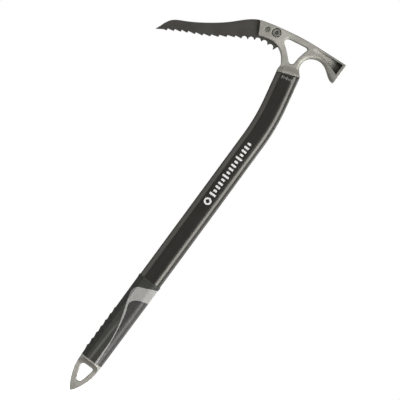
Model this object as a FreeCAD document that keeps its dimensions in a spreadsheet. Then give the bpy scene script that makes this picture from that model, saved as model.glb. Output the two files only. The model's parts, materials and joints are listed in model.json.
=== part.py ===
import FreeCAD, Part
import math
import os
import Sketcher

# Technical ice axe with a hammer.  Millimetres.  The origin is the tip of the spike, +Z runs up the
# straight lower shaft, the pick points to -X, the hammer to +X, and Y is the thickness.

V = FreeCAD.Vector
DOC = FreeCAD.newDocument("ice_axe")
SHEET = DOC.addObject("Spreadsheet::Sheet", "Dimensions")

DIMENSIONS = [
    # shaft section: front is the nose side (-X), rear the round side (+X)
    ("shaft_front", 14.4), ("shaft_rear", 14.5), ("shaft_half_depth", 9.5), ("wall", 1.6),
    ("grip_recess", 1.25), ("tube_bottom", 43.7), ("swage_low", 146.0), ("swage_high", 156.0),
    ("bend_height", 394.0), ("bend_angle", 12.0), ("bend_radius", 250.0),
    ("end_distance", 62.74), ("end_slope", 8.8),
    # head
    ("head_stock", 26.0), ("collar_lip", 1.6), ("scoop_height", 11.5), ("tang_length", 36.0),
    ("tang_root", 3.0), ("core_start", 4.0), ("bond_gap", 0.25), ("tang_wall", 3.0),
    ("web_half", 1.8), ("ramp_half", 3.7), ("arm_half", 5.0), ("pocket_reach", 13.0),
    ("window_round", 1.7), ("arch_round", 4.2), ("edge_round", 1.4),
    ("pick_thickness", 4.0), ("slot_clearance", 0.15),
    # pick fasteners
    ("bolt_x", -53.6), ("bolt_z", 487.1), ("bolt_head_radius", 4.6), ("bolt_head_height", 2.2),
    ("bolt_radius", 3.0), ("bolt_socket", 4.4), ("socket_floor", 0.6), ("bolt_past_floor", 2.4),
    ("counterbore_radius", 5.4), ("counterbore_floor", 3.4), ("cheek_half", 6.3),
    ("nut_flats", 10.0), ("nut_clearance", 0.3), ("nut_height", 2.6),
    ("pin_x", -64.7), ("pin_z", 484.1), ("pin_radius", 3.0), ("pin_recess", 0.9), ("hole_chamfer", 0.5),
    # head and spike cross pins
    ("cross_pin_radius", 2.0), ("head_pin_first", 12.0), ("head_pin_pitch", 13.0),
    ("spike_pin_first", 60.0), ("spike_pin_pitch", 16.0), ("pin_below_skin", 0.1),
    # grip
    ("grip_top", 160.7), ("grip_foot_inset", 0.15), ("grip_top_proud", 0.4), ("lip_height", 3.2),
    ("lip_proud", 0.75), ("rib_pitch", 9.1), ("rib_first", 55.2), ("rib_proud", 1.0),
    ("rib_count", 7), ("nose_radius", 7.7), ("rib_wrap", 160),
    # spike
    ("blade_half", 2.75), ("tip_half", 0.9), ("spike_front", 14.0), ("spike_half_depth", 9.3),
    ("spike_tang_top", 88.0), ("spike_core_floor", 2.0), ("eye_round", 0.9),
]
for row, (alias, value) in enumerate(DIMENSIONS, start=1):
    SHEET.set("A%d" % row, alias)
    SHEET.set("B%d" % row, str(value))
    SHEET.setAlias("B%d" % row, alias)
DOC.recompute()
D = {alias: float(SHEET.get(alias)) for alias, _ in DIMENSIONS}

NODES = {}


def keep(name, thing):
    """Label a finished sub-part and put it on the list that is written out."""
    thing.Label = name
    NODES[name] = thing
    return thing


def new_body(name):
    return DOC.addObject("PartDesign::Body", name)


def origin_plane(body, role):
    return [item for item in body.Origin.OriginFeatures if item.Role == role][0]


def new_sketch(body, name, role="XZ_Plane", offset=None):
    """A sketch on one of the body's own origin planes, moved by offset (a Placement)."""
    sketch = body.newObject("Sketcher::SketchObject", name)
    sketch.AttachmentSupport = [(origin_plane(body, role), "")]
    sketch.MapMode = "FlatFace"
    if offset is not None:
        sketch.AttachmentOffset = offset
    return sketch


def tip_of(sketch, piece, want):
    """Which end (1 or 2) of a sketch edge lies at the point."""
    starts = sketch.getPoint(piece, 1).distanceToPoint(want)
    ends = sketch.getPoint(piece, 2).distanceToPoint(want)
    return 1 if starts < ends else 2


def draw(sketch, start, *runs):
    """Closed outline.  A run is ("to", end), ("arc", via, end) or ("curve", point, ..., end)."""
    here = V(*start, 0)
    joints = []
    if len(runs) == 1:
        ring = Part.BSplineCurve()
        ring.interpolate([here] + [V(*point, 0) for point in runs[0][1:]], PeriodicFlag=True)
        sketch.addGeometry(ring)
        return sketch
    for kind, *points in runs:
        points = [V(*point, 0) for point in points]
        if kind == "to":
            edge = Part.LineSegment(here, points[0])
        elif kind == "arc":
            edge = Part.Arc(here, *points)
        else:
            edge = Part.BSplineCurve()
            edge.interpolate([here] + points)
        joints.append((sketch.addGeometry(edge), here, points[-1]))
        here = points[-1]
    for (first, _, meet), (second, _, _) in zip(joints, joints[1:] + joints[:1]):
        sketch.addConstraint(Sketcher.Constraint(
            "Coincident", first, tip_of(sketch, first, meet), second, tip_of(sketch, second, meet)))
    return sketch


def round_corners(corners):
    """Start and runs of a closed outline whose corners (x, z, radius) are rounded by tangent arcs."""
    joints = []
    for number, (x, z, radius) in enumerate(corners):
        here = V(x, z, 0)
        before = (V(*corners[number - 1][:2], 0) - here).normalize()
        after = (V(*corners[(number + 1) % len(corners)][:2], 0) - here).normalize()
        half = before.getAngle(after) / 2
        reach = radius / math.tan(half)
        inward = (before + after).normalize()
        centre = here + inward * (radius / math.sin(half))
        joints.append([here + before * reach, centre - inward * radius, here + after * reach])
    runs = []
    for entry, crown, leave in joints[1:] + joints[:1]:
        runs.append(("to", (entry.x, entry.y)))
        runs.append(("arc", (crown.x, crown.y), (leave.x, leave.y)))
    start = joints[0][2]
    return (start.x, start.y), runs


# Where the flat side ends, and where the facet meets the rounded nose, as shares of the section's
# front reach and half depth.
FLAT_SHARE = 0.56
NOSE_SHARE = (0.93, 0.45)


def draw_section(sketch, front, rear, half):
    """Shaft section: flat sides, two front facets with a rounded nose, and a round rear."""
    flat = -FLAT_SHARE * front
    nose = (-NOSE_SHARE[0] * front, NOSE_SHARE[1] * half)
    centre = rear - half
    draw(sketch, (flat, half), ("to", (centre, half)), ("arc", (rear, 0), (centre, -half)),
         ("to", (flat, -half)), ("to", (nose[0], -nose[1])), ("arc", (-front, 0), nose),
         ("to", (flat, half)))
    return sketch


def feature(body, kind, name, profile, length=None, symmetric=False, through=False, reverse=False):
    """A pad or pocket of a sketch, its length bound to a cell or an expression of cells."""
    item = body.newObject("PartDesign::" + kind, name)
    item.Profile = profile
    if length is not None:
        item.setExpression("Length", length)
    if through:
        item.Type = "ThroughAll"
    if symmetric:
        item.Midplane = True
    item.Reversed = reverse
    DOC.recompute()
    return item


def cut(body, name, profile, **options):
    """A pocket that must take material away, whichever way its sketch faces."""
    before = body.Tip.Shape.Volume
    item = feature(body, "Pocket", name, profile, **options)
    if before - item.Shape.Volume < 0.01:
        item.Reversed = not item.Reversed
        DOC.recompute()
    if before - item.Shape.Volume < 0.01:
        raise RuntimeError(name + " cuts nothing")
    return item


def dress(body, kind, name, chosen, size):
    """Fillet or chamfer the edges of the tip that the test picks; left out if it can't be built."""
    base = body.Tip
    picked = ["Edge%d" % (number + 1) for number, edge in enumerate(base.Shape.Edges) if chosen(edge)]
    if not picked:
        print(name, "picked no edge")
        return base
    item = body.newObject("PartDesign::" + kind, name)
    item.Base = (base, picked)
    item.setExpression("Radius" if kind == "Fillet" else "Size", size)
    DOC.recompute()
    sound = "Invalid" not in item.State and not item.Shape.isNull() and item.Shape.isValid()
    if not sound or abs(item.Shape.Volume / base.Shape.Volume - 1) > 0.2:
        print(name, "left out,", len(picked), "edges")
        body.removeObject(item)
        DOC.removeObject(item.Name)
        body.Tip = base
        DOC.recompute()
    return body.Tip


def middle(edge):
    return edge.valueAt((edge.FirstParameter + edge.LastParameter) / 2)


# ---------------------------------------------------------------- the bent axis of the shaft

BEND = math.radians(D["bend_angle"])
UP = V(-math.sin(BEND), 0, math.cos(BEND))
BACK = V(math.cos(BEND), 0, math.sin(BEND))
END_TILT = D["bend_angle"] + D["end_slope"]


def upper(distance, across=0.0):
    """Point of the straight upper shaft: distance past the bend's corner, across to the rear."""
    return V(0, 0, D["bend_height"]) + UP * distance + BACK * across


def tilted(point, degrees):
    """Placement whose Z leans towards the pick by the angle."""
    return FreeCAD.Placement(point, FreeCAD.Rotation(V(0, -1, 0), degrees))


def bind_end(sketch, lift, tilt):
    """Tie a sketch plane to the shaft's upper end: lift above it, leaning by the tilt expression."""
    along = "(Dimensions.end_distance + %s)" % lift
    lean = "Dimensions.bend_angle"
    sketch.setExpression("AttachmentOffset.Base.x", "-%s * sin(%s)" % (along, lean))
    sketch.setExpression("AttachmentOffset.Base.z",
                         "Dimensions.bend_height + %s * cos(%s)" % (along, lean))
    sketch.setExpression("AttachmentOffset.Rotation.Angle", tilt)
    return sketch


def path_sketch(body, name, bottom, past_end):
    """Centreline: straight, bend, straight, running a little past the shaft's upper end."""
    reach = D["bend_radius"] * math.tan(BEND / 2)
    low = V(0, D["bend_height"] - reach, 0)
    high = upper(reach)
    middle_of_arc = V(-D["bend_radius"], D["bend_height"] - reach, 0) + V(
        math.cos(BEND / 2), math.sin(BEND / 2), 0) * D["bend_radius"]
    last = upper(D["end_distance"] + past_end)
    sketch = new_sketch(body, name)
    sketch.addGeometry(Part.LineSegment(V(0, bottom, 0), low))
    sketch.addGeometry(Part.Arc(low, middle_of_arc, V(high.x, high.z, 0)))
    sketch.addGeometry(Part.LineSegment(V(high.x, high.z, 0), V(last.x, last.z, 0)))
    return sketch


def pipe(body, kind, name, profile, spine):
    item = body.newObject("PartDesign::" + kind, name)
    item.Profile = profile
    item.Spine = (spine, ["Edge1", "Edge2", "Edge3"])
    DOC.recompute()
    return item


def loft(body, kind, name, sections, ruled=False):
    item = body.newObject("PartDesign::" + kind, name)
    item.Profile = sections[0]
    item.Sections = sections[1:]
    item.Ruled = ruled
    DOC.recompute()
    return item


def section_sketch(body, name, height, inset):
    """Shaft section across the lower shaft at a height given by a sheet expression."""
    sketch = new_sketch(body, name, "XY_Plane")
    sketch.setExpression("AttachmentOffset.Base.z", height)
    return draw_section(sketch, D["shaft_front"] - inset, D["shaft_rear"] - inset,
                        D["shaft_half_depth"] - inset)


# A reach, from the part's axis, that is clear of the whole shaft.
BEYOND = 40


def above_end(sketch):
    """Outline that covers everything above the sloping end of the shaft."""
    centre = upper(D["end_distance"])
    along = V(math.cos(math.radians(END_TILT)), 0, math.sin(math.radians(END_TILT))) * BEYOND
    away = V(-along.z, 0, along.x)
    corners = [centre - along, centre + along, centre + along + away, centre - along + away]
    corners = [(corner.x, corner.z) for corner in corners]
    return draw(sketch, corners[0], *[("to", corner) for corner in corners[1:] + corners[:1]])


def pin_row(name, first, pitch, in_head):
    """Front-to-back pins: name, then sheet expressions of the X and Z of its place on the axis."""
    rows = []
    for turn, label in enumerate(("upper", "lower")):
        if in_head:
            reach = "(Dimensions.end_distance - Dimensions.%s - %d * Dimensions.%s)" % (
                first, turn, pitch)
            across = "-%s * sin(Dimensions.bend_angle)" % reach
            height = "Dimensions.bend_height + %s * cos(Dimensions.bend_angle)" % reach
        else:
            across = "0"
            height = "Dimensions.%s + %d * Dimensions.%s" % (first, 1 - turn, pitch)
        rows.append(("%s_pin_%s" % (name, label), across, height))
    return rows


HEAD_PINS = pin_row("head", "head_pin_first", "head_pin_pitch", True)
SPIKE_PINS = pin_row("spike", "spike_pin_first", "spike_pin_pitch", False)


def cross_holes(body, pins, lean):
    """Holes for front-to-back pins; lean is how far their axis tips up at the rear, in degrees."""
    for name, across, height in pins:
        sketch = new_sketch(body, name + "_hole_circle", "YZ_Plane", FreeCAD.Placement(
            V(0, 0, 0), FreeCAD.Rotation(V(-1, 0, 0), lean)))
        sketch.setExpression("AttachmentOffset.Base.y", height)
        sketch.setExpression("AttachmentOffset.Base.z", across)
        ring = sketch.addGeometry(Part.Circle(V(0, 0, 0), V(0, 0, 1), D["cross_pin_radius"]))
        size = sketch.addConstraint(Sketcher.Constraint("Radius", ring, D["cross_pin_radius"]))
        sketch.addConstraint(Sketcher.Constraint("Coincident", ring, 3, -1, 1))
        sketch.setExpression("Constraints[%d]" % size, "Dimensions.cross_pin_radius")
        cut(body, name + "_hole", sketch, through=True, symmetric=True)


# How far the tube and its bore run past the middle of the sloping end before it is cut.
TUBE_OVERRUN = 6
BORE_OVERRUN = 8


def build_shaft():
    body = new_body("shaft_tube")
    recess = D["grip_recess"]
    wall = D["wall"]
    spine = path_sketch(body, "centreline", D["swage_high"], TUBE_OVERRUN)
    pipe(body, "AdditivePipe", "bent_tube",
         section_sketch(body, "full_section", "Dimensions.swage_high", 0), spine)
    loft(body, "AdditiveLoft", "swage", [
        section_sketch(body, "swage_upper", "Dimensions.swage_high", 0),
        section_sketch(body, "swage_lower", "Dimensions.swage_low", recess)])
    feature(body, "Pad", "grip_length",
            section_sketch(body, "grip_section", "Dimensions.tube_bottom", recess),
            "Dimensions.swage_low - Dimensions.tube_bottom")
    bore_spine = path_sketch(body, "bore_line", D["swage_high"], BORE_OVERRUN)
    pipe(body, "SubtractivePipe", "bent_bore",
         section_sketch(body, "bore_section", "Dimensions.swage_high", wall), bore_spine)
    loft(body, "SubtractiveLoft", "swage_bore", [
        section_sketch(body, "bore_upper", "Dimensions.swage_high", wall),
        section_sketch(body, "bore_lower", "Dimensions.swage_low", wall + recess)])
    cut(body, "grip_bore", section_sketch(body, "bore_bottom", "Dimensions.tube_bottom", wall + recess),
        length="Dimensions.swage_low - Dimensions.tube_bottom", reverse=True)
    cut(body, "sloping_end", above_end(new_sketch(body, "end_line")), symmetric=True, through=True)
    cross_holes(body, HEAD_PINS, D["bend_angle"])
    cross_holes(body, SPIKE_PINS, 0)
    return keep("shaft_tube", body)


# ---------------------------------------------------------------- head

HEAD_OUTLINE = [
    ("curve", (-60, 493.2), (-45, 496.5), (-28, 499.8), (-10, 501.9), (12, 503.5), (35.8, 504.3)),
    ("to", (35.8, 479.4)), ("to", (32.3, 479.1)),
    ("curve", (25.4, 482.6), (17.3, 487.9), (8.6, 490.0), (0, 487.6), (-6, 482), (-7.6, 475), (-5.5, 466.8)),
    ("to", (-4, 459.5)), ("to", (-23.5, 452)), ("to", (-26.4, 458.8)),
    ("curve", (-28.6, 462.3), (-33.3, 468.6), (-41, 474.2), (-50, 476.2), (-60, 474.9), (-69, 471.8)),
    ("to", (-77.8, 488.3)),
]
WINDOW = [(-46.9, 488.6, 4.7), (-10.7, 494.8, 2.6), (-15.0, 481.2, 60), (-15.6, 462.2, 3.9),
          (-30.4, 476.4, 60)]
# Side pocket of the hammer arm: its outline at the arm's face, at the foot of the short ramp behind
# its front end, and at the deep end beside the hammer.
POCKET_MOUTH = [
    (-3, 499.6), ("curve", (10, 500.7), (32.6, 502.0)), ("to", (32.6, 487.8)),
    ("curve", (24, 491.4), (12, 494.3), (-3, 494.6)), ("arc", (-6.5, 497), (-3, 499.6)),
]
POCKET_FLOOR = [
    (3.5, 500.0), ("curve", (18, 500.9), (32.3, 501.7)), ("to", (32.3, 488.6)),
    ("curve", (24, 491.9), (13, 494.6), (3.5, 495.1)), ("arc", (1.0, 497.5), (3.5, 500.0)),
]
POCKET_DEEP = [
    (25, 501.0), ("curve", (28.5, 501.2), (32.0, 501.4)), ("to", (32.0, 489.2)),
    ("curve", (29.5, 490.1), (27.2, 491.1), (25, 492.0)), ("arc", (22.4, 496.6), (25, 501.0)),
]
ENVELOPE = [(-90, 6.3), (-70, 6.3), (-52, 6.3), (-38, 5.2), (-20, 5.0), (0, 5.0), (12, 5.3), (24, 8.2),
            (33, 11.2), (45, 12.0)]


# Cast transition from the shaft's section to the arms: front reach, rear reach and half thickness.
NECK = (12.9, 12.2, 6.8)
WAIST = (11.3, 10.8, 4.7)
NECK_LEVEL = 0.55

# Plan of the slot that takes the pick's plate.
SLOT = [
    ("to", (-78.4, 500)), ("to", (-78.4, 486.9)), ("curve", (-62, 489.9), (-46.6, 492.9)),
    ("to", (-42.9, 480.5)), ("to", (-42.6, 470)), ("to", (-42.6, 440)), ("to", (-90, 440)),
    ("to", (-90, 500)),
]


def head_end_section(body, name, lift, size):
    """Section on a plane parallel to the shaft's sloping end, at a height above that end."""
    lean = math.radians(END_TILT)
    place = upper(D["end_distance"]) + V(-math.sin(lean), 0, math.cos(lean)) * lift
    sketch = new_sketch(body, name, "XY_Plane", tilted(place, END_TILT))
    return draw_section(sketch, *size)


def build_head():
    body = new_body("head_casting")
    front, rear, half = D["shaft_front"], D["shaft_rear"], D["shaft_half_depth"]
    feature(body, "Pad", "stock", draw(new_sketch(body, "side_view"), (-77.8, 488.3), *HEAD_OUTLINE),
            "Dimensions.head_stock", symmetric=True)
    for side, name in ((1, "far"), (-1, "near")):
        top_view = new_sketch(body, "top_view_" + name, "XY_Plane")
        edge = [(x, side * y) for x, y in ENVELOPE]
        outside = side * D["head_stock"]
        draw(top_view, edge[0], ("curve", *edge[1:]), ("to", (edge[-1][0], outside)),
             ("to", (edge[0][0], outside)), ("to", edge[0]))
        cut(body, "flank_" + name, top_view, through=True, symmetric=True)

    def on_crown(edge):
        spot = middle(edge)
        return abs(spot.y) > 4.5 and edge.BoundBox.XLength > 60 and spot.z > 490

    def on_arch(edge):
        spot = middle(edge)
        return abs(spot.y) > 4.5 and edge.BoundBox.XLength > 20 and spot.z < 492 and spot.x > -20

    def on_cheek(edge):
        spot = middle(edge)
        return abs(spot.y) > 4.5 and edge.BoundBox.XLength > 20 and spot.z < 492 and spot.x < -20

    dress(body, "Fillet", "crown_rounds", on_crown, "Dimensions.edge_round")
    dress(body, "Fillet", "arch_rounds", on_arch, "Dimensions.arch_round")
    dress(body, "Fillet", "cheek_rounds", on_cheek, "Dimensions.edge_round")
    start, runs = round_corners(WINDOW)
    cut(body, "window", draw(new_sketch(body, "window_outline"), start, *runs), through=True,
        symmetric=True)

    def on_window(edge):
        spot = middle(edge)
        inside = -41 < spot.x < -11 and 465 < spot.z < 494.5 and abs(spot.y) > 4
        return inside and edge.BoundBox.YLength < 2

    dress(body, "Fillet", "window_rounds", on_window, "Dimensions.window_round")

    stretch = 1 / math.cos(math.radians(D["end_slope"]))
    loft(body, "AdditiveLoft", "scoop", [
        head_end_section(body, "collar_section", 0, (front * stretch, rear * stretch, half)),
        head_end_section(body, "lip_section", D["collar_lip"], (front * stretch, rear * stretch - 0.5,
                                                               half - 0.2)),
        head_end_section(body, "neck_section", D["scoop_height"] * NECK_LEVEL, NECK),
        head_end_section(body, "waist_section", D["scoop_height"], WAIST)])
    for side, name in ((1, "near"), (-1, "far")):
        levels = []
        for cell, outline in (("web_half", POCKET_DEEP), ("ramp_half", POCKET_FLOOR),
                              ("arm_half", POCKET_MOUTH), ("pocket_reach", POCKET_MOUTH)):
            level = new_sketch(body, "pocket_%s_%s" % (name, cell))
            level.setExpression("AttachmentOffset.Base.z", "%d * Dimensions.%s" % (side, cell))
            levels.append(draw(level, *outline))
        loft(body, "SubtractiveLoft", "hammer_pocket_" + name, levels, ruled=True)

    cut(body, "pick_slot", draw(new_sketch(body, "slot_outline"), (-90, 500), *SLOT), symmetric=True,
        length="Dimensions.pick_thickness + 2 * Dimensions.slot_clearance")
    tang_inset = D["wall"] + D["bond_gap"]
    tang = new_sketch(body, "tang_section", "XY_Plane", tilted(upper(0), D["bend_angle"]))
    bind_end(tang, "Dimensions.tang_root", "Dimensions.bend_angle")
    draw_section(tang, front - tang_inset, rear - tang_inset, half - tang_inset)
    feature(body, "Pad", "tang", tang, "Dimensions.tang_length + Dimensions.tang_root", reverse=True)
    hollow = new_sketch(body, "tang_hollow", "XY_Plane", tilted(upper(0), D["bend_angle"]))
    bind_end(hollow, "(-Dimensions.core_start)", "Dimensions.bend_angle")
    deep = tang_inset + D["tang_wall"]
    draw_section(hollow, front - deep, rear - deep, half - deep)
    cut(body, "tang_core", hollow, length="Dimensions.tang_length", reverse=False)
    cross_holes(body, HEAD_PINS, D["bend_angle"])
    bolt = ("bolt_x", "bolt_z")
    disc_cut(body, "bolt_counterbore", bolt, "counterbore_radius", "Dimensions.counterbore_floor", True)
    disc_cut(body, "bolt_hole", bolt, "bolt_radius", None, None)
    disc_cut(body, "pin_hole", ("pin_x", "pin_z"), "pin_radius", None, None)
    hexagon = new_sketch(body, "nut_outline")
    hexagon.setExpression("AttachmentOffset.Base.z", "-Dimensions.counterbore_floor")
    reach = (D["nut_flats"] + D["nut_clearance"]) / math.sqrt(3)
    corners = [(D["bolt_x"] + reach * math.cos(math.radians(60 * turn)),
                D["bolt_z"] + reach * math.sin(math.radians(60 * turn))) for turn in range(6)]
    draw(hexagon, corners[0], *[("to", corner) for corner in corners[1:] + corners[:1]])
    cut(body, "nut_pocket", hexagon, through=True)

    def on_hole_rim(edge):
        spot = middle(edge)
        from_pin = math.hypot(spot.x - D["pin_x"], spot.z - D["pin_z"])
        from_bolt = math.hypot(spot.x - D["bolt_x"], spot.z - D["bolt_z"])
        on_rim = abs(from_pin - D["pin_radius"]) < 0.1 or (
            abs(from_bolt - D["counterbore_radius"]) < 0.1 and spot.y < 0)
        return on_rim and abs(spot.y) > D["cheek_half"] - 0.4

    dress(body, "Chamfer", "hole_rims", on_hole_rim, "Dimensions.hole_chamfer")
    return keep("head_casting", body)


def circle_sketch(body, name, centre, radius):
    """Circle seen from the side, its centre and radius tied to cells."""
    sketch = new_sketch(body, name)
    ring = sketch.addGeometry(Part.Circle(V(D[centre[0]], D[centre[1]], 0), V(0, 0, 1), D[radius]))
    size = sketch.addConstraint(Sketcher.Constraint("Radius", ring, D[radius]))
    across = sketch.addConstraint(Sketcher.Constraint("DistanceX", ring, 3, D[centre[0]]))
    height = sketch.addConstraint(Sketcher.Constraint("DistanceY", ring, 3, D[centre[1]]))
    for number, cell in ((size, radius), (across, centre[0]), (height, centre[1])):
        sketch.setExpression("Constraints[%d]" % number, "Dimensions." + cell)
    return sketch


def disc_cut(body, name, centre, radius, start, towards_near):
    """Round hole along Y: right through, or from a plane at start outwards on the near side."""
    sketch = circle_sketch(body, name + "_circle", centre, radius)
    if start is None:
        return cut(body, name, sketch, through=True, symmetric=True)
    sketch.setExpression("AttachmentOffset.Base.z", start)
    return cut(body, name, sketch, through=True, reverse=towards_near)


# ---------------------------------------------------------------- pick

# Tips of the teeth from the nose back; the pick bites towards the hand, so each tooth has its
# steep side at the rear.
TEETH = [(-160.8, 412.4), (-153.6, 416.8), (-146.4, 421.0), (-139.5, 424.6), (-131.3, 428.6),
         (-123.0, 432.7), (-114.8, 437.3), (-106.7, 442.6), (-98.8, 448.3), (-91.0, 453.6)]
REAR_TEETH = [(-83.3, 457.4), (-76.3, 461.6), (-69.4, 465.8), (-61.7, 469.1), (-53.4, 470.1),
              (-44.8, 469.2)]
PICK_BACK = [
    ("to", (-169.6, 413)), ("curve", (-167.8, 418), (-163.7, 425), (-150, 434.0), (-125, 449.8),
                            (-105, 466), (-88, 482.2), (-78.2, 488.3)),
    ("to", (-78.2, 487.1)), ("curve", (-62, 490.1), (-46.8, 493.1)), ("to", (-43.1, 480.5)),
]
TOOTH_STEP = 2.3
TOOTH_BACK = 0.16
TOOTH_LAND = 0.16
NOTCH_DEPTH = 3.3


def pick_edge():
    """Lower edge from the tang forward to the point: rounded rear notches, then ratchet teeth."""
    runs = [("to", (-42.9, 474.3))]
    rear = list(reversed(REAR_TEETH))
    runs.append(("to", rear[0]))
    for here, there in zip(rear, rear[1:]):
        gap = V(there[0] - here[0], there[1] - here[1], 0)
        inward = V(gap.y, -gap.x, 0).normalize()
        if inward.y < 0:
            inward = inward * -1
        land = V(*here, 0) + gap * TOOTH_LAND
        root = V(*here, 0) + gap * (1 + TOOTH_LAND) / 2 + inward * NOTCH_DEPTH
        runs.append(("to", (land.x, land.y)))
        runs.append(("arc", (root.x, root.y), there))
    forward = [rear[-1]] + list(reversed(TEETH))
    for here, there in zip(forward, forward[1:]):
        gap = V(there[0] - here[0], there[1] - here[1], 0)
        inward = V(gap.y, -gap.x, 0).normalize()
        if inward.y < 0:
            inward = inward * -1
        foot = V(*there, 0) - gap * TOOTH_BACK + inward * TOOTH_STEP
        runs.append(("to", (foot.x, foot.y)))
        runs.append(("to", there))
    runs.append(("to", (-164.8, 411.3)))
    runs.append(("to", (-172.4, 406.3)))
    return runs


def build_pick():
    body = new_body("pick")
    outline = draw(new_sketch(body, "pick_outline"), (-172.4, 406.3), *PICK_BACK, *pick_edge())
    feature(body, "Pad", "plate", outline, "Dimensions.pick_thickness", symmetric=True)
    disc_cut(body, "bolt_hole_pick", ("bolt_x", "bolt_z"), "bolt_radius", None, None)
    disc_cut(body, "pin_hole_pick", ("pin_x", "pin_z"), "pin_radius", None, None)
    return keep("pick", body)


# ---------------------------------------------------------------- grip

BAND_OUTER = [(20, 157.3), (9, 154.3), (-0.8, 149.8), (-9.2, 144.9), (-10.9, 140.5), (-10.2, 134),
              (-6.3, 121.2), (0.2, 100.4), (3.9, 79.7), (4.8, 62.9), (4.9, 40)]
BAND_INNER = [(20, 138.6), (9, 136), (-1.8, 130.6), (-4.3, 126.6), (-2.3, 117.2), (1.6, 102.4),
              (5.4, 77.7), (6.9, 58), (7.9, 40)]


def grip_sleeve(body):
    """The whole moulding before it is divided: a tapered sleeve with a lip round its top."""
    recess = D["grip_recess"]
    bottom = section_sketch(body, "sleeve_bottom", "Dimensions.tube_bottom", D["grip_foot_inset"])
    top = section_sketch(body, "sleeve_top", "Dimensions.grip_top", -D["grip_top_proud"])
    loft(body, "AdditiveLoft", "sleeve", [bottom, top])
    lip = section_sketch(body, "lip_outline", "Dimensions.grip_top", -D["lip_proud"])
    feature(body, "Pad", "lip", lip, "Dimensions.lip_height", reverse=True)
    cut(body, "tube_space", section_sketch(body, "tube_low", "Dimensions.tube_bottom", recess),
        length="Dimensions.swage_low - Dimensions.tube_bottom", reverse=True)
    loft(body, "SubtractiveLoft", "swage_space", [
        section_sketch(body, "swage_inside_low", "Dimensions.swage_low", recess),
        section_sketch(body, "swage_inside_high", "Dimensions.swage_high", 0)])
    cut(body, "shaft_space", section_sketch(body, "tube_high", "Dimensions.swage_high", 0), through=True,
        reverse=True)


def divide(body, name, curve, keep_rear):
    """Cut the sleeve along a side-view curve and keep the rear or the front of it."""
    above = D["grip_top"] + 10
    if keep_rear:
        frame = [(-BEYOND, curve[-1][1]), (-BEYOND, above), (BEYOND, above), (BEYOND, curve[0][1])]
    else:
        frame = [(BEYOND, curve[-1][1]), (BEYOND, curve[0][1])]
    outline = draw(new_sketch(body, name + "_outline"), curve[0], ("curve", *curve[1:]),
                   *[("to", point) for point in frame + [curve[0]]])
    cut(body, name, outline, through=True, symmetric=True)


# A rib is a sharp crest between two hollows.  Its base sits inside the skin of the sleeve's nose, the
# lower hollow takes most of the pitch, and the hollows sag to a share of the crest's height.
RIB_ROOT = 1.0
RIB_RISE = 0.72
RIB_SAG = 0.33
RIB_CREST = 0.25


def build_grip_front():
    body = new_body("grip_front")
    grip_sleeve(body)
    divide(body, "band_edge", BAND_OUTER, keep_rear=False)
    rib = new_sketch(body, "rib_outline")
    rib.setExpression("AttachmentOffset.Base.x", "Dimensions.nose_radius - Dimensions.shaft_front")
    rib.setExpression("AttachmentOffset.Base.y", "Dimensions.rib_first")
    skin = -D["nose_radius"]
    tip = skin - D["rib_proud"]
    low, high = -RIB_RISE * D["rib_pitch"], (1 - RIB_RISE) * D["rib_pitch"]
    draw(rib, (skin + RIB_ROOT, low), ("to", (skin, low)),
         ("arc", (skin - RIB_SAG * D["rib_proud"], low / 2), (tip, -RIB_CREST)), ("to", (tip, RIB_CREST)),
         ("arc", (skin - RIB_SAG * D["rib_proud"], high / 2), (skin, high)),
         ("to", (skin + RIB_ROOT, high)), ("to", (skin + RIB_ROOT, low)))
    pad = body.newObject("PartDesign::Revolution", "rib")
    pad.Profile = rib
    pad.ReferenceAxis = (rib, ["V_Axis"])
    pad.setExpression("Angle", "Dimensions.rib_wrap")
    pad.Midplane = True
    DOC.recompute()
    ribs = body.newObject("PartDesign::LinearPattern", "ribs")
    ribs.Originals = [pad]
    ribs.Direction = (origin_plane(body, "Z_Axis"), [""])
    ribs.setExpression("Length", "Dimensions.rib_pitch * (Dimensions.rib_count - 1)")
    ribs.setExpression("Occurrences", "Dimensions.rib_count")
    body.Tip = ribs
    DOC.recompute()
    return keep("grip_front", body)


def build_grip_band():
    body = new_body("grip_band")
    grip_sleeve(body)
    divide(body, "band_front_edge", BAND_OUTER, keep_rear=True)
    divide(body, "band_rear_edge", BAND_INNER, keep_rear=False)
    return keep("grip_band", body)


def build_grip_rear():
    body = new_body("grip_rear")
    grip_sleeve(body)
    divide(body, "panel_edge", BAND_INNER, keep_rear=True)
    return keep("grip_rear", body)


# ---------------------------------------------------------------- spike

SPIKE_REAR = [(1.2, 0.35), (4.35, 4.6), (7.2, 9.8), (9.8, 15.6), (12.0, 22.4), (13.3, 29.4), (13.9, 37),
              (14.1, 48)]
SPIKE_FRONT = [(-0.7, 0.35), (-3.7, 4.6), (-6.5, 9.8), (-9.1, 15.6), (-11.4, 22.4), (-12.9, 29.4),
               (-13.8, 37), (-14.1, 48)]
EYE = [(-9.4, 36.1, 4.2), (8.8, 36.1, 2.6), (7.5, 27.0, 30), (3.8, 14.5, 2.2), (-1.4, 14.5, 1.6),
       (-5.3, 24.4, 60)]


# Face of the blade seen edge on: heights where the flat starts and stops, then the hollow that
# sweeps out to the collar (distance from the middle plane, height).
BLADE_LOW = 9
BLADE_HIGH = 31
SCOOP_MIDDLE = (4.6, 37.6)
SCOOP_TOP = (9.6, 42.0)


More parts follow.
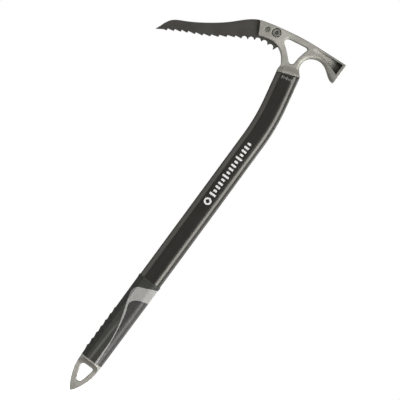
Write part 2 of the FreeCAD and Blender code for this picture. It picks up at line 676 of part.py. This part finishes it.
def build_spike():
    body = new_body("spike_casting")
    size = (D["spike_front"], D["spike_front"], D["spike_half_depth"])
    collar = new_sketch(body, "collar_outline", "XY_Plane")
    collar.setExpression("AttachmentOffset.Base.z", "Dimensions.tube_bottom")
    feature(body, "Pad", "collar", draw_section(collar, *size), "Dimensions.tube_bottom", reverse=True)
    for side, name, edge in ((1, "rear", SPIKE_REAR), (-1, "front", SPIKE_FRONT)):
        outline = draw(new_sketch(body, name + "_edge"), (0, 0), ("to", edge[0]), ("curve", *edge[1:]),
                       ("to", (side * 30, 48)), ("to", (side * 30, -5)), ("to", (0, -5)), ("to", (0, 0)))
        cut(body, name + "_taper", outline, through=True, symmetric=True)
    blade = D["blade_half"]
    for side, name in ((1, "far"), (-1, "near")):
        scoop = new_sketch(body, name + "_scoop", "YZ_Plane")
        tip = side * D["tip_half"]
        clear = side * 20
        draw(scoop, (tip, 0), ("to", (side * blade, BLADE_LOW)), ("to", (side * blade, BLADE_HIGH)),
             ("arc", (side * SCOOP_MIDDLE[0], SCOOP_MIDDLE[1]), (side * SCOOP_TOP[0], SCOOP_TOP[1])),
             ("to", (clear, SCOOP_TOP[1])), ("to", (clear, -5)), ("to", (tip, -5)), ("to", (tip, 0)))
        cut(body, name + "_face", scoop, through=True, symmetric=True)
    start, runs = round_corners(EYE)
    cut(body, "eye", draw(new_sketch(body, "eye_outline"), start, *runs), through=True, symmetric=True)

    def on_eye(edge):
        spot = middle(edge)
        box = edge.BoundBox
        return abs(box.XMax) < 9.5 and abs(box.XMin) < 9.5 and 13 < spot.z < 36.5 and box.YLength < 2

    dress(body, "Fillet", "eye_rounds", on_eye, "Dimensions.eye_round")
    inset = D["grip_recess"] + D["wall"] + D["bond_gap"]
    tang = section_sketch(body, "tang_outline", "Dimensions.tube_bottom", inset)
    feature(body, "Pad", "tang", tang, "Dimensions.spike_tang_top - Dimensions.tube_bottom")
    hollow = section_sketch(body, "tang_hollow", "Dimensions.spike_tang_top", inset + D["tang_wall"])
    cut(body, "tang_core", hollow, length="Dimensions.spike_tang_top - Dimensions.tube_bottom"
        " - Dimensions.spike_core_floor")
    cross_holes(body, SPIKE_PINS, 0)
    return keep("spike_casting", body)


# ---------------------------------------------------------------- fasteners and bonds

def primitive(kind, name, **expressions):
    """Part primitive whose properties are bound to sheet expressions."""
    item = DOC.addObject("Part::" + kind, name)
    for prop, expression in expressions.items():
        item.setExpression(prop.replace("__", "."), expression)
    return item


def along_y(item, x, y, z):
    """Stand a primitive along +Y with its base at a place given by sheet expressions."""
    item.Placement = FreeCAD.Placement(V(0, 0, 0), FreeCAD.Rotation(V(1, 0, 0), -90))
    for axis, expression in (("x", x), ("y", y), ("z", z)):
        item.setExpression("Placement.Base." + axis, expression)
    return item


def boolean(kind, name, base, tool):
    item = DOC.addObject("Part::" + kind, name)
    item.Base = base
    item.Tool = tool
    return item


def build_pick_fasteners():
    at = ("Dimensions.bolt_x", "Dimensions.bolt_z")
    floor = "Dimensions.counterbore_floor"
    head = primitive("Cylinder", "bolt_head", Radius="Dimensions.bolt_head_radius",
                     Height="Dimensions.bolt_head_height")
    along_y(head, at[0], "-%s - Dimensions.bolt_head_height" % floor, at[1])
    shank = primitive("Cylinder", "bolt_shank", Radius="Dimensions.bolt_radius",
                      Height="2 * %s + Dimensions.bolt_past_floor" % floor)
    along_y(shank, at[0], "-" + floor, at[1])
    socket = primitive("Prism", "bolt_socket_shape", Circumradius="Dimensions.bolt_socket / sqrt(3)",
                       Height="Dimensions.bolt_head_height")
    socket.Polygon = 6
    along_y(socket, at[0], "-%s - Dimensions.bolt_head_height - Dimensions.socket_floor" % floor, at[1])
    bolt = boolean("Cut", "pick_bolt", boolean("Fuse", "bolt_blank", head, shank), socket)
    keep("pick_bolt", bolt)
    nut_body = primitive("Prism", "nut_blank", Circumradius="Dimensions.nut_flats / sqrt(3)",
                         Height="Dimensions.nut_height")
    nut_body.Polygon = 6
    along_y(nut_body, at[0], floor, at[1])
    bore = primitive("Cylinder", "nut_bore", Radius="Dimensions.bolt_radius",
                     Height="Dimensions.nut_height")
    along_y(bore, at[0], floor, at[1])
    keep("pick_nut", boolean("Cut", "pick_nut", nut_body, bore))
    pin = primitive("Cylinder", "pick_pin_blank", Radius="Dimensions.pin_radius",
                    Height="2 * (Dimensions.cheek_half - Dimensions.pin_recess)")
    along_y(pin, "Dimensions.pin_x", "Dimensions.pin_recess - Dimensions.cheek_half", "Dimensions.pin_z")
    keep("pick_pin", pin)


def build_cross_pins():
    """Pins ground flush with the shaft's front and rear."""
    for pins, lean, inset in ((HEAD_PINS, D["bend_angle"], "0"),
                              (SPIKE_PINS, 0, "Dimensions.grip_recess")):
        for name, across, height in pins:
            half = "(Dimensions.shaft_front - %s - Dimensions.pin_below_skin)" % inset
            pin = primitive("Cylinder", name + "_blank", Radius="Dimensions.cross_pin_radius",
                            Height="2 * " + half)
            pin.Placement = FreeCAD.Placement(V(0, 0, 0), FreeCAD.Rotation(V(0, 1, 0), 90 - lean))
            pin.setExpression("Placement.Base.x", "%s - %s * cos(%s)" % (across, half, lean))
            pin.setExpression("Placement.Base.z", "%s - %s * sin(%s)" % (height, half, lean))
            keep(name, pin)


def build_bonds():
    """Cured adhesive that fills the gap between each tang and the tube."""
    bore = D["wall"]
    gap = D["bond_gap"]
    front, rear, half = D["shaft_front"], D["shaft_rear"], D["shaft_half_depth"]
    head = new_body("head_bond")
    for kind, inset in (("Pad", bore), ("Pocket", bore + gap)):
        ring = new_sketch(head, "bond_%s" % kind.lower(), "XY_Plane", tilted(V(0, 0, 0), D["bend_angle"]))
        bind_end(ring, "(-Dimensions.core_start)", "Dimensions.bend_angle")
        draw_section(ring, front - inset, rear - inset, half - inset)
        feature(head, kind, "bond_" + ("body" if kind == "Pad" else "core"), ring,
                "Dimensions.tang_length - Dimensions.core_start", reverse=kind == "Pad")
    cross_holes(head, HEAD_PINS, D["bend_angle"])
    keep("head_bond", head)
    spike = new_body("spike_bond")
    recess = D["grip_recess"]
    length = "Dimensions.spike_tang_top - Dimensions.tube_bottom"
    feature(spike, "Pad", "bond_body",
            section_sketch(spike, "bond_outside", "Dimensions.tube_bottom", bore + recess), length)
    cut(spike, "bond_core",
        section_sketch(spike, "bond_inside", "Dimensions.tube_bottom", bore + recess + gap),
        length=length, reverse=True)
    cross_holes(spike, SPIKE_PINS, 0)
    keep("spike_bond", spike)


build_shaft()
build_head()
build_pick()
build_grip_front()
build_grip_band()
build_grip_rear()
build_spike()
build_pick_fasteners()
build_cross_pins()
build_bonds()
DOC.recompute()
for item in DOC.Objects:
    if "Invalid" in item.State or "Error" in item.State:
        raise RuntimeError(item.Name + " failed: " + ", ".join(item.State))
for name, thing in NODES.items():
    shape = thing.Shape
    if shape.isNull() or not shape.isValid():
        raise RuntimeError(name + " has no sound shape")
    print(name, len(shape.Solids), round(shape.Volume), shape.BoundBox)
os.makedirs("parts", exist_ok=True)
for name, thing in NODES.items():
    thing.Shape.exportStep("parts/%s.step" % name)
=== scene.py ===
import json
import math
from collections import Counter

import bmesh
import bpy
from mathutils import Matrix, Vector


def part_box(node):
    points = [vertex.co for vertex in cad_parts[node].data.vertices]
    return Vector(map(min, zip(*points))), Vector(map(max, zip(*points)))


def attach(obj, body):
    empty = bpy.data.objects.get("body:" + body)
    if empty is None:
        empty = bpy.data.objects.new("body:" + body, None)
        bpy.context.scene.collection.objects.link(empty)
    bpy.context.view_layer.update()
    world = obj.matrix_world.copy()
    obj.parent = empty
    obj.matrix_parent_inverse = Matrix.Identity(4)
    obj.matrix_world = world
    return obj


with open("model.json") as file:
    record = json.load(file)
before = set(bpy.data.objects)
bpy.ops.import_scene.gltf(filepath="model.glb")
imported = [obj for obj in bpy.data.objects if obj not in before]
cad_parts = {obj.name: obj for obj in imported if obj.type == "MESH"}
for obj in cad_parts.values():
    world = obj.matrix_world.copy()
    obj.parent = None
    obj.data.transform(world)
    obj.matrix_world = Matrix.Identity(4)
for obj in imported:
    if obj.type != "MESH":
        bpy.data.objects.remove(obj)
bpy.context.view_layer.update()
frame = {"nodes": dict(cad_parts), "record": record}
NODES = frame["nodes"]
MM = 0.001

# Most noise falls between these two values.
NOISE_SPAN = (0.3, 0.7)
NOISE_ROUGHNESS = 0.55
CLOUD_SHADE = 0.88
# How far a rounded normal leaves the true one (as a cosine) where an edge starts to look worn,
# and where it looks fully worn.
WEAR_SPAN = (0.93, 0.78)

# ---------------------------------------------------------------- node helpers


class Shader:
    """A node material built one node at a time."""

    def __init__(self, name):
        self.material = bpy.data.materials.new(name)
        self.material.use_nodes = True
        self.nodes = self.material.node_tree.nodes
        self.links = self.material.node_tree.links
        self.bsdf = self.nodes["Principled BSDF"]

    def add(self, kind, **settings):
        node = self.nodes.new("ShaderNode" + kind)
        for key, value in settings.items():
            setattr(node, key, value)
        return node

    def join(self, source, target):
        self.links.new(source, target)

    def set(self, **values):
        for key, value in values.items():
            socket = self.bsdf.inputs[key.replace("_", " ")]
            socket.default_value = value

    def place(self, scale=(1, 1, 1), turn=(0, 0, 0)):
        """Object coordinates, in metres times scale."""
        coordinates = self.add("TexCoord")
        mapping = self.add("Mapping")
        mapping.inputs["Scale"].default_value = scale
        mapping.inputs["Rotation"].default_value = turn
        self.join(coordinates.outputs["Object"], mapping.inputs["Vector"])
        return mapping.outputs["Vector"]

    def noise(self, scale, detail, stretch=(1, 1, 1), turn=(0, 0, 0)):
        """Cloudy grey from zero to one, with about scale clouds to the metre."""
        node = self.add("TexNoise")
        node.inputs["Scale"].default_value = scale
        node.inputs["Detail"].default_value = detail
        node.inputs["Roughness"].default_value = NOISE_ROUGHNESS
        self.join(self.place(stretch, turn), node.inputs["Vector"])
        return node.outputs["Fac"]

    def ramp(self, value, low, high, first, second):
        """Map a value from low..high to a number or a colour from first to second."""
        node = self.add("MapRange" if isinstance(first, (int, float)) else "ValToRGB")
        if isinstance(first, (int, float)):
            limits = {"From Min": low, "From Max": high, "To Min": first, "To Max": second}
            for key, number in limits.items():
                node.inputs[key].default_value = number
            self.join(value, node.inputs["Value"])
            return node.outputs["Result"]
        node.color_ramp.elements[0].position = low
        node.color_ramp.elements[1].position = high
        node.color_ramp.elements[0].color = (*first, 1)
        node.color_ramp.elements[1].color = (*second, 1)
        self.join(value, node.inputs["Fac"])
        return node.outputs["Color"]

    def mix(self, factor, first, second):
        """Blend two colours, each a socket or three numbers, by a socket from zero to one."""
        node = self.add("Mix", data_type="RGBA")
        for place, value in ((0, factor), (6, first), (7, second)):
            socket = node.inputs[place]
            if isinstance(value, tuple):
                socket.default_value = (*value, 1)
            else:
                self.join(value, socket)
        return node.outputs[2]

    def bump(self, height, depth, strength, under):
        """Normals disturbed by a height, on top of the normals from under."""
        node = self.add("Bump")
        node.inputs["Strength"].default_value = strength
        node.inputs["Distance"].default_value = depth
        self.join(height, node.inputs["Height"])
        self.join(under, node.inputs["Normal"])
        return node.outputs["Normal"]

    def rounded(self, radius):
        """Normals that turn a sharp edge into a small round."""
        node = self.add("Bevel", samples=8)
        node.inputs["Radius"].default_value = radius
        return node.outputs["Normal"]

    def worn_edges(self, rounded):
        """One where the rounded normal leaves the true one, so on tight edges; zero elsewhere."""
        true = self.add("NewGeometry")
        dot = self.add("VectorMath", operation="DOT_PRODUCT")
        self.join(rounded, dot.inputs[0])
        self.join(true.outputs["Normal"], dot.inputs[1])
        return self.ramp(dot.outputs["Value"], *WEAR_SPAN, 0.0, 1.0)

    def recesses(self, depth, closed, clear):
        """Zero in the bottom of a recess of about that depth, one in the open: the mask for painted
        shade.
        """
        shelter = self.add("AmbientOcclusion", samples=8)
        shelter.inputs["Distance"].default_value = depth
        return self.ramp(shelter.outputs["AO"], closed, clear, 0.0, 1.0)


def cast_steel():
    """Satin investment-cast stainless steel: fine grain, rubbed edges, painted shade in the bottoms of
    recesses.
    """
    steel = Shader("cast_steel")
    cloud = steel.noise(70, detail=5)
    body = steel.ramp(cloud, 0.32, 0.70, (0.440, 0.428, 0.384), (0.520, 0.507, 0.459))
    round_edge = steel.rounded(0.0005)
    bright = steel.mix(steel.worn_edges(round_edge), body, (0.60, 0.59, 0.54))
    # Painted shade: the colour darkens to near black where ambient occlusion finds a deep hollow.
    recess_shaded = steel.mix(steel.recesses(0.014, 0.30, 0.80), (0.075, 0.072, 0.060), bright)
    steel.join(recess_shaded, steel.bsdf.inputs["Base Color"])
    steel.join(steel.ramp(steel.noise(420, detail=3), *NOISE_SPAN, 0.60, 0.70),
               steel.bsdf.inputs["Roughness"])
    pits = steel.bump(steel.noise(320, detail=4), depth=0.00010, strength=0.2, under=round_edge)
    grain = steel.bump(steel.noise(1900, detail=2), depth=0.00003, strength=0.2, under=pits)
    steel.join(grain, steel.bsdf.inputs["Normal"])
    steel.set(Metallic=1.0)
    return steel.material


def pick_steel():
    """Dark coated alloy steel with a fine grind along the blade and bright worn edges."""
    steel = Shader("pick_steel")
    cloud = steel.noise(60, detail=6)
    body = steel.ramp(cloud, 0.3, 0.72, (0.086, 0.083, 0.074), (0.112, 0.109, 0.098))
    round_edge = steel.rounded(0.0004)
    worn = steel.mix(steel.worn_edges(round_edge), body, (0.26, 0.26, 0.25))
    steel.join(worn, steel.bsdf.inputs["Base Color"])
    steel.join(steel.ramp(steel.noise(500, detail=3), *NOISE_SPAN, 0.54, 0.66),
               steel.bsdf.inputs["Roughness"])
    grind = steel.noise(900, detail=3, stretch=(0.12, 1, 1), turn=(0, math.radians(30), 0))
    steel.join(steel.bump(grind, depth=0.00004, strength=0.25, under=round_edge),
               steel.bsdf.inputs["Normal"])
    steel.set(Metallic=0.85)
    return steel.material


def fastener_steel():
    """Bare machined steel, with painted shade darkening its recesses."""
    steel = Shader("fastener_steel")
    cloud = steel.noise(240, detail=4)
    body = steel.ramp(cloud, *NOISE_SPAN, (0.34, 0.33, 0.30), (0.46, 0.45, 0.42))
    round_edge = steel.rounded(0.0004)
    bright = steel.mix(steel.worn_edges(round_edge), body, (0.75, 0.74, 0.72))
    # Painted shade: the colour darkens to near black in the hollows that ambient occlusion finds.
    recess_shaded = steel.mix(steel.recesses(0.004, 0.35, 0.85), (0.030, 0.028, 0.024), bright)
    steel.join(recess_shaded, steel.bsdf.inputs["Base Color"])
    steel.join(steel.ramp(cloud, *NOISE_SPAN, 0.30, 0.42), steel.bsdf.inputs["Roughness"])
    steel.join(round_edge, steel.bsdf.inputs["Normal"])
    steel.set(Metallic=1.0)
    return steel.material


def anodised():
    """Black anodised aluminium: drawn along the tube, satin, with a faint warm cast."""
    metal = Shader("shaft_aluminium")
    cloud = metal.noise(24, detail=5)
    body = metal.ramp(cloud, *NOISE_SPAN, (0.064, 0.061, 0.055), (0.078, 0.075, 0.068))
    metal.join(body, metal.bsdf.inputs["Base Color"])
    drawn = metal.noise(700, detail=3, stretch=(1, 1, 0.015))
    metal.join(metal.ramp(drawn, *NOISE_SPAN, 0.30, 0.38), metal.bsdf.inputs["Roughness"])
    metal.join(metal.bump(drawn, depth=0.00002, strength=0.2, under=metal.rounded(0.003)),
               metal.bsdf.inputs["Normal"])
    metal.set(Metallic=0.9)
    return metal.material


def rubber(name, dark, light, rough, sheen=0.4, pebbles=0.13, highlight_colour=None):
    """Moulded rubber: pebbled skin, dusty clouding and, where asked for, a paler painted highlight
    along a line.
    """
    skin = Shader(name)
    body = skin.ramp(skin.noise(55, detail=5), 0.3, 0.72, dark, light)
    # Painted highlight: a paler line of colour where the side of the grip turns and catches the light.
    if highlight_colour is not None:
        body = skin.mix(highlight_line_mask(skin), body, highlight_colour)
    skin.join(body, skin.bsdf.inputs["Base Color"])
    skin.join(skin.ramp(skin.noise(300, detail=3), *NOISE_SPAN, rough - 0.06, rough + 0.08),
              skin.bsdf.inputs["Roughness"])
    pebble = skin.add("TexVoronoi")
    pebble.inputs["Scale"].default_value = 900
    skin.join(skin.place(), pebble.inputs["Vector"])
    skin.join(skin.bump(pebble.outputs["Distance"], depth=0.00005, strength=pebbles,
                        under=skin.rounded(0.0005)),
              skin.bsdf.inputs["Normal"])
    skin.set(Specular_IOR_Level=sheen)
    return skin.material


# Where the painted highlight line on the lower grip runs: foot and lean of the line, half its width,
# and the heights over which it fades.
HIGHLIGHT_FOOT = -4.6 * MM
HIGHLIGHT_LEAN = 0.031
HIGHLIGHT_HALF = 2.4 * MM
HIGHLIGHT_FADE = (88 * MM, 106 * MM)


def highlight_line_mask(skin):
    """Mask of a painted highlight: one along the middle of each side of the lower grip, fading out to
    the sides and upward.
    """
    axes = skin.add("SeparateXYZ")
    skin.join(skin.place(), axes.inputs["Vector"])
    line = skin.add("Math", operation="MULTIPLY_ADD")
    skin.join(axes.outputs["Z"], line.inputs[0])
    line.inputs[1].default_value = HIGHLIGHT_LEAN
    line.inputs[2].default_value = HIGHLIGHT_FOOT
    shifted = skin.add("Math", operation="SUBTRACT")
    skin.join(axes.outputs["X"], shifted.inputs[0])
    skin.join(line.outputs[0], shifted.inputs[1])
    distance = skin.add("Math", operation="ABSOLUTE")
    skin.join(shifted.outputs[0], distance.inputs[0])
    across = skin.ramp(distance.outputs[0], 0.0, HIGHLIGHT_HALF, 1.0, 0.0)
    along = skin.ramp(axes.outputs["Z"], *HIGHLIGHT_FADE, 1.0, 0.0)
    both = skin.add("Math", operation="MULTIPLY")
    skin.join(across, both.inputs[0])
    skin.join(along, both.inputs[1])
    return both.outputs[0]


def simple(name, colour, rough):
    """A plain paint or glue, a little darker in clouds."""
    paint = Shader(name)
    shade = tuple(CLOUD_SHADE * part for part in colour)
    paint.join(paint.ramp(paint.noise(300, detail=3), *NOISE_SPAN, shade, colour),
               paint.bsdf.inputs["Base Color"])
    paint.set(Roughness=rough)
    return paint.material


MATERIALS = {
    "cast_steel": cast_steel(),
    "pick_steel": pick_steel(),
    "fastener_steel": fastener_steel(),
    "shaft_aluminium": anodised(),
    # grip_black carries a painted highlight: the paler colour below is laid along a line on each side.
    "grip_black": rubber("grip_black", (0.030, 0.031, 0.025), (0.042, 0.043, 0.036), 0.55,
                         highlight_colour=(0.110, 0.107, 0.100)),
    "grip_silver": rubber("grip_silver", (0.33, 0.325, 0.31), (0.40, 0.395, 0.38), 0.5, pebbles=0.05),
    "grip_grey": rubber("grip_grey", (0.042, 0.039, 0.038), (0.058, 0.055, 0.053), 0.42, sheen=0.45),
    "adhesive": simple("adhesive", (0.55, 0.45, 0.25), 0.5),
    "print_white": simple("print_white", (0.82, 0.82, 0.80), 0.5),
    "print_grey": simple("print_grey", (0.26, 0.26, 0.25), 0.5),
}

for part in frame["record"]["subparts"]:
    mesh = NODES[part["node"]].data
    mesh.materials.clear()
    mesh.materials.append(MATERIALS[part["material_slot"]])

# ---------------------------------------------------------------- printed marks

LEAN_OF_TOP = math.radians(12)
SHAFT_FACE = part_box("shaft_tube")[1].y
PRINT_LIFT = 0.05 * MM
PRINT_DEPTH = 0.04 * MM
WELD = 0.0005 * MM

# Sizes of the marks, in millimetres.
MARK_LINE = -1.0
SCALE_FOOT = 287.5
SCALE_PITCH = 5.25
SCALE_COUNT = 15
SCALE_WIDTHS = (8.6, 4.6, 6.4, 6.4, 4.6)
SCALE_HEIGHT = 2.7
SCALE_CORNER = 0.9
RING_HEIGHT = 277.6
RING_RADII = (4.6, 2.4)
TICK_MIDDLE = (-11.2, 450.0)
TICK_REACH = 6.0
TICK_PITCH = 2.0
TICK_COUNT = 7
TICK_WIDTH = 1.0
TICK_HEIGHTS = (3.4, 2.2, 2.2)
TICK_CORNER = 0.35


def rounded_bar(x, z, width, height, radius, turn=0.0):
    """Outline of a round-cornered bar in the shaft's side plane, in millimetres."""
    points = []
    for quarter in range(4):
        sx = 1 if quarter in (0, 3) else -1
        sz = 1 if quarter < 2 else -1
        for step in range(4):
            angle = math.radians(90 * quarter + 30 * step)
            across = sx * (width / 2 - radius) + radius * math.cos(angle)
            along = sz * (height / 2 - radius) + radius * math.sin(angle)
            points.append((x + across * math.cos(turn) - along * math.sin(turn),
                           z + across * math.sin(turn) + along * math.cos(turn)))
    return points


def ring(x, z, outer, inner, steps=40):
    """Quads of a flat ring in the shaft's side plane."""
    quads = []
    for step in range(steps):
        first, second = (2 * math.pi * (step + more) / steps for more in (0, 1))
        corners = ((outer, first), (outer, second), (inner, second), (inner, first))
        quads.append([(x + radius * math.cos(angle), z + radius * math.sin(angle))
                      for radius, angle in corners])
    return quads


def sides_of(outline):
    """The outline's sides, each the same whichever way round it is walked."""
    corners = [(round(x, 4), round(z, 4)) for x, z in outline]
    return [frozenset(pair) for pair in zip(corners, corners[1:] + corners[:1])]


def print_mark(name, outlines, material, side):
    """Thin printed film on a flat side of the shaft: side is -1 near the bolt head, +1 near the nut."""
    mesh = bmesh.new()
    inner = side * (SHAFT_FACE + PRINT_LIFT - PRINT_DEPTH)
    outer = side * (SHAFT_FACE + PRINT_LIFT)
    uses = Counter(edge for outline in outlines for edge in sides_of(outline))
    for outline in outlines:
        outline = outline if side < 0 else outline[::-1]
        low = [mesh.verts.new((x * MM, inner, z * MM)) for x, z in outline]
        high = [mesh.verts.new((x * MM, outer, z * MM)) for x, z in outline]
        mesh.faces.new(high)
        mesh.faces.new(low[::-1])
        for here, edge in enumerate(sides_of(outline)):
            there = (here + 1) % len(outline)
            if uses[edge] == 1:
                mesh.faces.new((low[here], low[there], high[there], high[here]))
    bmesh.ops.remove_doubles(mesh, verts=mesh.verts, dist=WELD)
    bmesh.ops.recalc_face_normals(mesh, faces=mesh.faces)
    data = bpy.data.meshes.new(name)
    mesh.to_mesh(data)
    mesh.free()
    film = bpy.data.objects.new(name, data)
    bpy.context.scene.collection.objects.link(film)
    data.materials.append(MATERIALS[material])
    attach(film, "root")
    return film


def scale_bars():
    """A plain graduated scale: long and short bars up the shaft."""
    bars = []
    for number in range(SCALE_COUNT):
        width = SCALE_WIDTHS[number % len(SCALE_WIDTHS)]
        height = SCALE_FOOT + SCALE_PITCH * number
        bars.append(rounded_bar(MARK_LINE, height, width, SCALE_HEIGHT, SCALE_CORNER))
    return bars


def size_bars():
    """Row of small grey ticks just under the head, square to the leaning upper shaft."""
    bars = []
    for number in range(TICK_COUNT):
        across = TICK_PITCH * number - TICK_REACH
        x = TICK_MIDDLE[0] + across * math.cos(LEAN_OF_TOP)
        z = TICK_MIDDLE[1] + across * math.sin(LEAN_OF_TOP)
        height = TICK_HEIGHTS[number % len(TICK_HEIGHTS)]
        bars.append(rounded_bar(x, z, TICK_WIDTH, height, TICK_CORNER, LEAN_OF_TOP))
    return bars


for side, where in ((-1, "near"), (1, "far")):
    print_mark("shaft_scale_" + where, scale_bars(), "print_white", side)
    print_mark("shaft_ring_" + where, ring(MARK_LINE, RING_HEIGHT, *RING_RADII), "print_white", side)
    print_mark("size_ticks_" + where, size_bars(), "print_grey", side)

# ---------------------------------------------------------------- camera, light, floor

LEAN = math.radians(36.35)
CENTRE = Vector((-9.1, 0, 273.3)) * MM
VIEW_WIDTH = 476 * MM
DISTANCE = 2.0
SENSOR = 36
ROOM_GREY = 0.26
FLOOR_HALF = 2.2
FLOOR_HEIGHT = -0.25

# Each light's name, place, aim, width and height in metres, and watts.
LIGHTS = [
    ("left", (-2.0, -0.25, 0.25), (0, 0, 0.25), (1.1, 1.8), 8),
    ("strip", (1.40, -1.20, 0.25), (0, 0, 0.25), (1.1, 1.8), 44),
    ("rim", (1.7, 0.9, 0.2), (0, 0, 0.25), (0.8, 1.8), 12),
    ("key", (-0.6, -1.5, 1.9), (0, 0, 0.35), (1.6, 1.6), 6),
    ("low", (0.9, -1.6, -0.9), (0, 0, 0.3), (0.9, 0.9), 11),
    ("back", (0.6, 1.8, 0.9), (0, 0, 0.25), (1.2, 1.2), 12),
]


def make_camera():
    data = bpy.data.cameras.new("camera")
    data.sensor_width = SENSOR
    data.lens = data.sensor_width * DISTANCE / VIEW_WIDTH
    camera = bpy.data.objects.new("camera", data)
    bpy.context.scene.collection.objects.link(camera)
    camera.location = CENTRE + Vector((0, -DISTANCE, 0))
    camera.rotation_euler = (math.radians(90), -LEAN, 0)
    bpy.context.scene.camera = camera


def make_light(name, place, aim, size, power):
    data = bpy.data.lights.new(name, "AREA")
    data.shape = "RECTANGLE"
    data.size, data.size_y = size
    data.energy = power
    light = bpy.data.objects.new(name, data)
    bpy.context.scene.collection.objects.link(light)
    light.location = place
    light.rotation_euler = (Vector(aim) - Vector(place)).to_track_quat("-Z", "Y").to_euler()


def make_world():
    """White to the eye, and a soft studio of greys to the surfaces it lights."""
    world = bpy.data.worlds.new("studio")
    bpy.context.scene.world = world
    world.use_nodes = True
    nodes, links = world.node_tree.nodes, world.node_tree.links
    nodes.clear()
    output = nodes.new("ShaderNodeOutputWorld")
    seen = nodes.new("ShaderNodeBackground")
    cast = nodes.new("ShaderNodeBackground")
    seen.inputs["Color"].default_value = (1, 1, 1, 1)
    cast.inputs["Color"].default_value = (1, 1, 1, 1)
    cast.inputs["Strength"].default_value = ROOM_GREY
    rays = nodes.new("ShaderNodeLightPath")
    mix = nodes.new("ShaderNodeMixShader")
    links.new(rays.outputs["Is Camera Ray"], mix.inputs[0])
    links.new(cast.outputs[0], mix.inputs[1])
    links.new(seen.outputs[0], mix.inputs[2])
    links.new(mix.outputs[0], output.inputs["Surface"])


def make_floor():
    mesh = bpy.data.meshes.new("floor")
    sides = ((-1, -1), (1, -1), (1, 1), (-1, 1))
    corners = [(x * FLOOR_HALF, y * FLOOR_HALF, FLOOR_HEIGHT) for x, y in sides]
    mesh.from_pydata(corners, [], [(0, 1, 2, 3)])
    floor = bpy.data.objects.new("floor", mesh)
    bpy.context.scene.collection.objects.link(floor)
    paper = Shader("floor_paper")
    paper.set(Base_Color=(0.9, 0.9, 0.9, 1), Roughness=0.9)
    paper.set(Emission_Color=(1, 1, 1, 1), Emission_Strength=1.0)
    mesh.materials.append(paper.material)
    floor.visible_diffuse = False
    floor.visible_glossy = False


make_camera()
make_world()
make_floor()
for light in LIGHTS:
    make_light(*light)
bpy.context.scene.view_settings.view_transform = "Standard"
